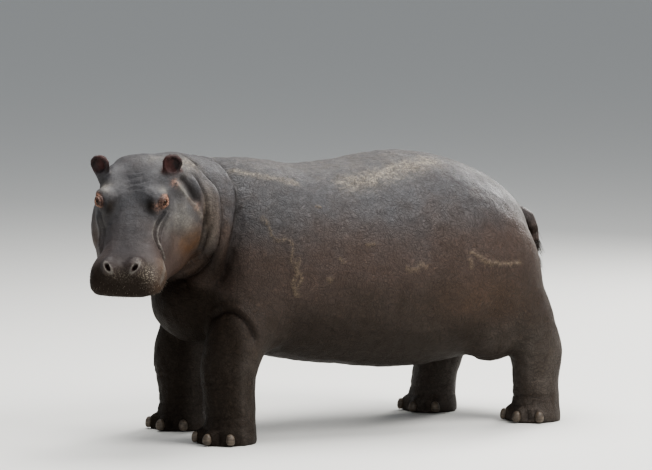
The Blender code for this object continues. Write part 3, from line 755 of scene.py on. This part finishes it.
def clouds(place, scale, detail=4.0, rough=0.55, warp=0.0):
    """Soft noise, from 0 to 1."""
    return put("TexNoise", {"Vector": place, "Scale": scale, "Detail": detail, "Roughness": rough,
                            "Distortion": warp}).outputs["Fac"]


def cells(place, scale):
    """The distance to the nearest edge of a cracked, cell-like pattern."""
    pattern = put("TexVoronoi", {"Vector": place, "Scale": scale}, feature="DISTANCE_TO_EDGE")
    return pattern.outputs["Distance"]


def between(value, low, high, to_low=0.0, to_high=1.0):
    """The value carried smoothly from one pair of limits to another, and held at them."""
    return put("MapRange", {"Value": value, "From Min": low, "From Max": high, "To Min": to_low,
                            "To Max": to_high}, interpolation_type="SMOOTHSTEP").outputs["Result"]


def sum_of(a, b, how="ADD"):
    """Two numbers joined by a sum or another operation."""
    return put("Math", {0: a, 1: b}, operation=how).outputs[0]


def times(a, b):
    """The product of two numbers."""
    return sum_of(a, b, "MULTIPLY")


def share_of(name, by=None):
    """The number stored on the points under that name, times another where one is given."""
    share = put("Attribute", attribute_name=name).outputs["Fac"]
    return share if by is None else times(share, by)


def tinted(share, under, over, how="MIX"):
    """One colour laid over another by a share."""
    return put("Mix", {0: share, 6: under, 7: over}, data_type="RGBA", blend_type=how).outputs[2]


def new_paint(name):
    """Starts a paint: its material, shader and Object coordinates. The nodes put next are its own."""
    global tree
    paint = bpy.data.materials.new(name)
    paint.use_nodes = True
    tree = paint.node_tree
    return paint, tree.nodes["Principled BSDF"], put("TexCoord").outputs["Object"]


SLATE = (0.047, 0.047, 0.051, 1)
INK = (0.015, 0.015, 0.018, 1)
PURPLE_BROWN = (0.055, 0.037, 0.03, 1)
UNDER_BROWN = (0.029, 0.019, 0.013, 1)
DUST_AND_HIGHLIGHT_TAN = (0.23, 0.205, 0.168, 1)
JOWL_TAN = (0.08, 0.038, 0.014, 1)
RAW_ORANGE = (0.33, 0.185, 0.13, 1)
LID_BROWN = (0.05, 0.024, 0.017, 1)
NEAR_BLACK = (0.016, 0.012, 0.009, 1)
EAR_MAROON = (0.046, 0.016, 0.014, 1)
PALE_AND_HIGHLIGHT_GREY = (0.2, 0.19, 0.172, 1)
SCAR_OCHRE = (0.165, 0.128, 0.088, 1)
CREASE_SHADE = (0.012, 0.008, 0.007, 1)
SHADED = (0.35, 0.32, 0.3, 1)
LIGHTENED = (1.9, 1.85, 1.8, 1)

hide, shader, place = new_paint("hide")
height = put("SeparateXYZ", {0: place}).outputs["Z"]
broad = clouds(place, 2.4, 3, 0.6)
mottle = clouds(place, 11, 5, 0.62, 0.3)
grain = clouds(place, 70, 6, 0.7)
torn = clouds(place, 85, 3, 0.7, 1.5)
pits = clouds(place, 34, 4, 0.68, 0.6)
drift = put("TexNoise", {"Vector": place, "Scale": 7.0, "Detail": 3.0}).outputs["Color"]
bent = put("VectorMath", {0: drift, 1: (0.14, 0.14, 0.14), 2: place}, operation="MULTIPLY_ADD").outputs[0]
wrinkles = between(cells(spread_out(bent, (30, 30, 42)), 1), 0, 0.16)
cracks = between(cells(bent, 68), 0, 0.16)
upright = clouds(spread_out(bent, (60, 40, 12)), 1, 4, 0.65, 0.6)
dots = put("TexVoronoi", {"Vector": place, "Scale": 115.0}, feature="F1").outputs["Distance"]
dotted = times(between(dots, 0.25, 0.55, 1, 0.15), between(torn, 0.36, 0.56, 0.2, 1))
# The height, stirred by broad noise. The colours below follow it from under brown through purple brown to
# slate: partly the hide's own colours, partly painted shade that darkens the lower body.
level = sum_of(height, times(sum_of(broad, 0.5, "SUBTRACT"), 0.55))
dusty_and_rim_lit = times(share_of("dust_and_rim_highlight", between(torn, 0.38, 0.56, 0.35, 1)),
              between(pits, 0.38, 0.6, 0.35, 1))
ear_tone = tinted(between(mottle, 0.4, 0.62), (0.014, 0.008, 0.008, 1), EAR_MAROON)
lid_tone = tinted(between(clouds(place, 95, 3), 0.4, 0.58), LID_BROWN, RAW_ORANGE)
rough_skin = between(share_of("smooth"), 0, 1, 1, 0.55)

colour = UNDER_BROWN
for share, over in (
        # darker towards the bottom: the hide's own colours with painted shade below
        (between(level, 0.58, 1), PURPLE_BROWN),
        (between(level, 0.88, 1.24), SLATE),
        (between(mottle, 0.35, 0.75, 0, 0.35), (0.052, 0.042, 0.038, 1)),
        (share_of("inky"), INK),
        (share_of("tan", between(mottle, 0.3, 0.7, 0.55, 1)), JOWL_TAN),
        # painted highlights and pale skin
        (share_of("highlight_and_pale", between(mottle, 0.3, 0.65, 0.3, 0.8)), PALE_AND_HIGHLIGHT_GREY),
        # dust, and the painted highlight on the rump's rear edge
        (dusty_and_rim_lit, DUST_AND_HIGHLIGHT_TAN),
        (share_of("scar", between(torn, 0.4, 0.56, 0.1, 0.8)), SCAR_OCHRE),
        # painted shade, and the tail's own dark colour
        (share_of("shade_and_dark"), NEAR_BLACK),
        (share_of("speckle", dotted), DUST_AND_HIGHLIGHT_TAN),
        (share_of("maroon", 0.94), ear_tone),
        (share_of("lid", 0.8), LID_BROWN),
        (share_of("raw", 0.85), lid_tone),
        (share_of("sore"), lid_tone),
        (share_of("rim", 0.42), PALE_AND_HIGHLIGHT_GREY),
        # the nostril's slit: its own dark lining with painted shade in the opening
        (share_of("nostril"), (0.03, 0.018, 0.016, 1)),
        # painted shade in the creases
        (share_of("groove_and_shade", 0.75), CREASE_SHADE)):
    colour = tinted(share, colour, over)
for share, over in (
        (times(between(wrinkles, 0, 1, 0.3, 0), rough_skin), SHADED),
        (times(between(cracks, 0, 1, 0.45, 0), rough_skin), SHADED),
        (between(upright, 0.32, 0.52, 0.22, 0), SHADED),
        (times(between(pits, 0.5, 0.72, 0, 0.45), rough_skin), LIGHTENED)):
    colour = tinted(share, colour, over, "MULTIPLY")
relief = times(wrinkles, 0.16)
for layer, depth in ((cracks, 0.22), (pits, 0.7), (upright, 0.22), (grain, 0.35), (mottle, 1.0)):
    relief = sum_of(relief, times(layer, depth))
bump = put("Bump", {"Strength": between(share_of("smooth"), 0, 1, 0.54, 0.22), "Distance": 0.01,
                    "Height": relief})
matt = sum_of(share_of("inky"), share_of("shade_and_dark"), "MAXIMUM")
feed(shader, {"Base Color": colour, "Normal": bump.outputs["Normal"],
              "Roughness": sum_of(between(mottle, 0.3, 0.7, 0.48, 0.64), share_of("dust_and_rim_highlight", 0.3)),
              "Specular IOR Level": between(matt, 0, 1, 0.24, 0.05)})
skin_mesh.materials.clear()
skin_mesh.materials.append(hide)

# -------------------- the eyes
# Glass eyes, as a taxidermist sets them: a dark amber iris with a level slit, under a clear bulge, in
# a ball of brown. Each is cast to the size of the socket and lies behind the lids.
EYE_RINGS = 48
EYE_SPOKES = 72
CORNEA_RISE = 0.0012
IRIS_ANGLE = 0.62
IRIS_SIDE = 1.5             # the angle up to which a point is on the iris's side of the ball
PUPIL_LONG = 0.0085
PUPIL_WIDE = 0.004


def ball_grid(first, last, rings, spokes):
    """The two angles of a ball's points: from first at one pole to last at the other, and round it."""
    polar = np.linspace(first, last, rings)[1:-1]
    turn = np.linspace(0.0, 2 * math.pi, spokes, endpoint=False)
    return (np.concatenate([[first], np.repeat(polar, spokes), [last]]),
            np.concatenate([[0.0], np.tile(turn, rings - 2), [0.0]]))


def smooth_mesh(name, points, faces):
    """A smooth-shaded mesh of points and faces."""
    mesh = bpy.data.meshes.new(name)
    mesh.from_pydata(points.tolist(), [], faces)
    mesh.shade_smooth()
    return mesh


def closed_mesh(name, points, spokes):
    """A mesh from the points of a ball's grid: quads between neighbouring rings, a fan to each pole."""
    last = len(points) - 1
    foot = last - spokes
    ring = np.arange(spokes)
    after = np.roll(ring, -1)
    base = np.arange(1, foot, spokes)[:, None]
    quads = np.stack([base + ring, base + spokes + ring, base + spokes + after, base + after], axis=2)
    first_fan = np.stack([np.zeros_like(ring), 1 + ring, 1 + after], axis=1)
    last_fan = np.stack([np.full_like(ring, last), foot + after, foot + ring], axis=1)
    return smooth_mesh(name, points, first_fan.tolist() + quads.reshape(-1, 4).tolist() + last_fan.tolist())


def piece_from(mesh, paint):
    """An object for a mesh, painted, riding on the body and named after the mesh."""
    item = placed(mesh.name, mesh)
    mesh.materials.append(paint)
    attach(item, "root")
    return item


glass, shader, place = new_paint("eye_glass")
iris = share_of("iris")
fibres = clouds(place, 900, 3, 0.6)
colour = tinted(between(fibres, 0.35, 0.65), (0.02, 0.009, 0.004, 1), (0.06, 0.025, 0.009, 1))
for share, over in (
        (between(iris, 0.5, 0.62), (0.012, 0.006, 0.004, 1)),
        (between(iris, 0.66, 0.8), (0.05, 0.024, 0.016, 1)),
        (between(share_of("slit"), 0.85, 1.1, 1, 0), (0.002, 0.002, 0.002, 1))):
    colour = tinted(share, colour, over)
feed(shader, {"Base Color": colour, "Roughness": between(fibres, 0.3, 0.7, 0.04, 0.08),
              "Specular IOR Level": 0.22})

# The ball's radius is the eye's, with a bell-shaped rise over the iris.
polar, turn = ball_grid(0.0, math.pi, EYE_RINGS, EYE_SPOKES)
ball = np.column_stack([np.sin(polar) * np.cos(turn), np.sin(polar) * np.sin(turn), np.cos(polar)])
radius = EYE_RADIUS + CORNEA_RISE * np.exp(-((polar / IRIS_ANGLE) ** 2))
slit = np.hypot(ball[:, 0] * EYE_RADIUS / PUPIL_LONG, ball[:, 1] * EYE_RADIUS / PUPIL_WIDE)
slit += (polar > IRIS_SIDE) * 9.0
for centre, (name, side) in zip(eye_centres, SIDES):
    axes = eye_axes(side)
    if np.linalg.det(axes) < 0:
        axes = axes * np.array([[1], [-1], [1]])
    mesh = closed_mesh("eyeball_" + name, centre + (ball * radius[:, None]) @ axes, EYE_SPOKES)
    keep_share(mesh, "iris", polar)
    keep_share(mesh, "slit", slit)
    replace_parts(piece_from(mesh, glass), "eye_" + name)

# -------------------- the nails
# Four blunt horny shields on each foot, set into the front of each toe and worn flat below.
NAIL_RINGS = 22
NAIL_SPOKES = 32
NAIL_ROUNDING = 0.72

horn, shader, place = new_paint("nail_horn")
growth = clouds(spread_out(place, (18, 18, 210)), 1, 3, 0.55, 0.5)
stain = clouds(place, 38, 4, 0.6)
colour = tinted(between(growth, 0.35, 0.65), (0.055, 0.041, 0.03, 1), (0.12, 0.094, 0.068, 1))
colour = tinted(between(stain, 0.42, 0.7, 0, 0.7), colour, (0.03, 0.022, 0.017, 1))
bump = put("Bump", {"Strength": 0.4, "Distance": 0.002, "Height": growth})
feed(shader, {"Base Color": colour, "Normal": bump.outputs["Normal"],
              "Roughness": between(stain, 0.3, 0.7, 0.38, 0.62)})


def blunted(values, power):
    """Sines or cosines with their size raised to a power: below 1 it blunts the corners."""
    return np.sign(values) * np.abs(values) ** power


def shield(centre, out, half_width, half_height, depth, floor_level):
    """A nail: a ball with blunted corners, leaning outwards towards the ground, ringed with growth lines
    and cut flat at its lowest level."""
    rise, turn = ball_grid(math.pi / 2, -math.pi / 2, NAIL_RINGS, NAIL_SPOKES)
    girth = np.cos(rise).clip(0) ** NAIL_ROUNDING
    level = np.sin(rise)
    front = girth * blunted(np.cos(turn), NAIL_ROUNDING) * depth
    side = girth * blunted(np.sin(turn), 0.9) * half_width * (1 - 0.16 * level)
    front = front * (1 + 0.03 * np.sin(level * 26.0)) - 0.16 * depth * level
    across = np.array([-out[1], out[0], 0.0])
    points = centre + front[:, None] * out + side[:, None] * across
    points[:, 2] = np.maximum(points[:, 2] + level * half_height, floor_level)
    return points


for leg in LEGS:
    foot = corners_of(leg)
    foot = foot[foot[:, 2] < 0.05].mean(axis=0)
    for number in (1, 2, 3, 4):
        toe = "nail_%s_%d" % (leg, number)
        low, high = limits(toe)
        centre = (low + high) / 2
        corner = corners_of(toe)
        flat = corner[:, :2] - corner[:, :2].mean(axis=0)
        out = unit((centre - foot) * (1, 1, 0))
        depth = np.ptp(flat @ out[:2]) / 2
        width = np.ptp(flat @ np.array([-out[1], out[0]])) / 2
        points = shield(centre, out, width, (high[2] - low[2]) / 2, depth, low[2])
        mesh = closed_mesh(toe.replace("nail", "horn"), points, NAIL_SPOKES)
        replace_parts(piece_from(mesh, horn), toe)

# -------------------- the bristles
# Stiff hairs set in the hide: short pale ones on the upper lip, a fringe round the ears, and a sparse
# dark brush on both edges of the tail. Each is a three-sided taper that bends with its own weight.
LIP_BRISTLES = 260
EAR_BRISTLES = 170
TAIL_BRISTLES = 420
BRISTLE_STATIONS = np.array([-0.06, 0.35, 0.7])
OFBAKE_PATCH = 0.0015

skin_faces = form[read(skin_mesh.loops, "vertex_index", 1, np.int32).reshape(-1, 3)]
face_normals = np.cross(skin_faces[:, 1] - skin_faces[:, 0], skin_faces[:, 2] - skin_faces[:, 0])
face_areas = length(face_normals) + 1e-12
face_normals /= face_areas[:, None]
face_middles = skin_faces.mean(axis=1)


def roots_on(dice, weight, count):
    """Places strewn over the skin's faces, each face drawn by its area times its weight, and the
    outward directions there."""
    chance = face_areas * weight
    drawn = dice.choice(len(chance), size=count, p=chance / chance.sum())
    share = dice.random((count, 2))
    share = np.where(share.sum(axis=1, keepdims=True) > 1, 1 - share, share)
    a, b, c = (skin_faces[drawn, i] for i in range(3))
    return a + (b - a) * share[:, :1] + (c - a) * share[:, 1:], face_normals[drawn]


def bristles(name, roots, ways, reach, thick, droop, unwrap, paint):
    """One mesh of many bristles. Each runs from just under the skin along its way for its reach and
    sinks by droop times the square of the distance along it; its radius falls evenly to a point."""
    count = len(roots)
    ways = ways / length(ways)[:, None]
    side = np.cross(ways, (0.31, 0.24, 0.92))
    side /= length(side)[:, None]
    other = np.cross(ways, side)
    along = np.append(BRISTLE_STATIONS, 1.0)
    reach = reach[:, None, None]
    spine = (roots[:, None, :] + ways[:, None, :] * (along[:, None] * reach)
             - np.array(UPWARD) * (droop * reach * (along**2)[:, None]))
    turn = np.arange(3) * 2 * math.pi / 3
    rim = side[:, None, :] * np.cos(turn)[:, None] + other[:, None, :] * np.sin(turn)[:, None]
    radius = thick * (1 - 0.8 * BRISTLE_STATIONS)
    rings = spine[:, :3, None, :] + rim[:, None, :, :] * radius[None, :, None, None]
    points = np.concatenate([rings.reshape(count, 9, 3), spine[:, 3:, :]], axis=1)
    sides = [(a + r, a + (r + 1) % 3, a + 3 + (r + 1) % 3, a + 3 + r) for a in (0, 3) for r in range(3)]
    tips = [(6 + r, 6 + (r + 1) % 3, 9) for r in range(3)] + [(2, 1, 0)]
    base = 10 * np.arange(count)[:, None, None]
    faces = (base + sides).reshape(-1, 4).tolist() + (base + tips).reshape(-1, 3).tolist()
    mesh = smooth_mesh(name, points.reshape(-1, 3), faces)
    patch = np.column_stack([np.cos(turn), np.sin(turn)])
    patch = np.concatenate([patch, patch * 0.7, patch * 0.4, [[0, 0]]])
    point_uv = (unwrap(roots)[:, None, :] + OFBAKE_PATCH * patch).reshape(-1, 2)
    point_uv = point_uv[read(mesh.loops, "vertex_index", 1, np.int32)[:, 0]]
    layer = mesh.uv_layers.new(name="OFBake")
    layer.data.foreach_set("uv", np.clip(point_uv, 0, 1).astype(np.float32).ravel())
    keep_share(mesh, "along", np.tile(np.append(np.repeat(BRISTLE_STATIONS, 3), 1.0), count))
    return piece_from(mesh, paint)


def bristle_paint(name, root_colour, tip_colour):
    """Horn-like hair: one colour at the root running to another at the tip, with noise between hairs."""
    paint, shader, place = new_paint(name)
    hair = clouds(place, 130, 2, 0.5)
    share = between(sum_of(share_of("along"), between(hair, 0.3, 0.7, -0.3, 0.3)), 0.1, 0.9)
    feed(shader, {"Base Color": tinted(share, root_colour, tip_colour),
                  "Roughness": between(hair, 0.3, 0.7, 0.35, 0.55)})
    return paint


straw = bristle_paint("lip_bristle", (0.08, 0.06, 0.045, 1), (0.42, 0.37, 0.3, 1))
umber = bristle_paint("dark_bristle", (0.016, 0.011, 0.009, 1), (0.06, 0.045, 0.036, 1))


def unrolled(turn_up, turn_across, along):
    """Flat coordinates: the share of a whole turn, and the place along the axis."""
    return np.column_stack([np.arctan2(turn_up, turn_across) / (2 * math.pi) + 0.5, along])


def round_head(points):
    """The head unrolled about the muzzle's axis."""
    local = in_head(points)
    return unrolled(local[:, 1], local[:, 2] + 0.2, local[:, 0] / 0.9 + 0.05)


def round_tail(points):
    """The tail unrolled about its middle line, which leans back as it goes down."""
    local = points - (tail_low + tail_high) / 2
    return unrolled(local[:, 1], local[:, 0] + 0.4 * local[:, 2],
                    (points[:, 2] - tail_low[2]) / (tail_high[2] - tail_low[2]))


faces_in_head = in_head(face_middles)
dice = np.random.default_rng(41)
on_lip = (step(faces_in_head[:, 0], 0.6, 0.68) * step(-faces_in_head[:, 2], 0.05, 0.12)
          * step(faces_in_head[:, 2], -0.27, -0.23))
roots, outward = roots_on(dice, on_lip, LIP_BRISTLES)
ways = outward + 0.35 * head_forward - 0.25 * np.array(UPWARD) + dice.normal(0, 0.22, roots.shape)
bristles("lip_bristles", roots, ways, dice.uniform(0.006, 0.016, LIP_BRISTLES), 0.0005, 0.15,
         round_head, straw)
for name, _ in SIDES:
    low, high = limits("ear_" + name)
    centre = (low + high) / 2
    local = face_middles - centre
    inside = (np.abs(local) < (high - low) / 2 + 0.004).all(axis=1)
    rim = inside * step(length(local * (1, 1, 0.8)), 0.04, 0.055) * (local[:, 2] > -0.02)
    roots, outward = roots_on(dice, rim, EAR_BRISTLES)
    spread = roots - centre
    ways = outward + spread / length(spread)[:, None] + dice.normal(0, 0.2, roots.shape)
    bristles("ear_bristles_" + name, roots, ways, dice.uniform(0.005, 0.011, EAR_BRISTLES), 0.0005, 0.1,
             round_head, umber)
tail_share = close_to("tail", face_middles, 0.028) * step(-face_middles[:, 2], -0.98, -0.86)
tail_share *= face_middles[:, 0] > tail_high[0] - 0.075
roots, outward = roots_on(dice, tail_share, TAIL_BRISTLES)
ways = outward * 0.55 + np.array([0.1, 0.0, -1.0]) + dice.normal(0, 0.12, roots.shape)
bristles("tail_bristles", roots, ways, dice.uniform(0.03, 0.07, TAIL_BRISTLES), 0.0011, 0.15,
         round_tail, umber)

# -------------------- floor, lights and camera
# A plain pale floor and four softboxes: the key lamp high on the animal's near side, one overhead, one
# behind for the rim, and a weak one low in front to fill. The air all round glows faintly blue.
floor_mesh = bpy.data.meshes.new("floor")
floor_mesh.from_pydata([(-60, -60, 0), (60, -60, 0), (60, 60, 0), (-60, 60, 0)], [], [(0, 1, 2, 3)])
floor = placed("floor", floor_mesh)
floor_paint, shader, _ = new_paint("floor_paint")
feed(shader, {"Base Color": (0.62, 0.62, 0.6, 1), "Roughness": 0.9})
floor_mesh.materials.append(floor_paint)


def facing(item, place, away):
    """Stands a lamp or the camera at a place, with its back turned the way of away."""
    item.location = place
    item.rotation_euler = away.to_track_quat("Z", "Y").to_euler()


for name, place, aim, size, power in (
        ("key_lamp", (4.0, -5.5, 7.0), (0.2, 0.0, 0.8), 4.5, 900),
        ("top_lamp", (0.4, 0.8, 8.0), (0.2, 0.0, 0.8), 6.0, 1100),
        ("rim_lamp", (7.0, 4.0, 4.0), (0.8, 0.0, 1.0), 2.5, 420),
        ("fill_lamp", (-5.5, -6.5, 3.0), (-0.4, 0.0, 0.9), 4.0, 170)):
    lamp = bpy.data.lights.new(name, "AREA")
    lamp.shape, lamp.size, lamp.energy, lamp.color = "SQUARE", size, power, (1.0, 0.98, 0.95)
    facing(placed(name, lamp), place, Vector(place) - Vector(aim))
world = bpy.data.worlds.new("studio")
bpy.context.scene.world = world
world.use_nodes = True
air = world.node_tree.nodes["Background"].inputs
air["Color"].default_value = (0.86, 0.9, 0.95, 1)
air["Strength"].default_value = 0.42
bpy.context.scene.view_settings.look = "AgX - Medium High Contrast"

AZIMUTH = math.radians(-28.0)
ELEVATION = math.radians(6.0)
DISTANCE = 28.0
AIM = Vector((0.2621, 0.282, 0.9811))
camera_back = Vector((math.sin(AZIMUTH) * math.cos(ELEVATION), -math.cos(AZIMUTH) * math.cos(ELEVATION),
                      math.sin(ELEVATION)))
camera_data = bpy.data.cameras.new("camera")
camera_data.lens = 293.74
camera_data.clip_end = 200.0
camera = placed("camera", camera_data)
facing(camera, AIM + camera_back * DISTANCE, camera_back)
bpy.context.scene.camera = camera
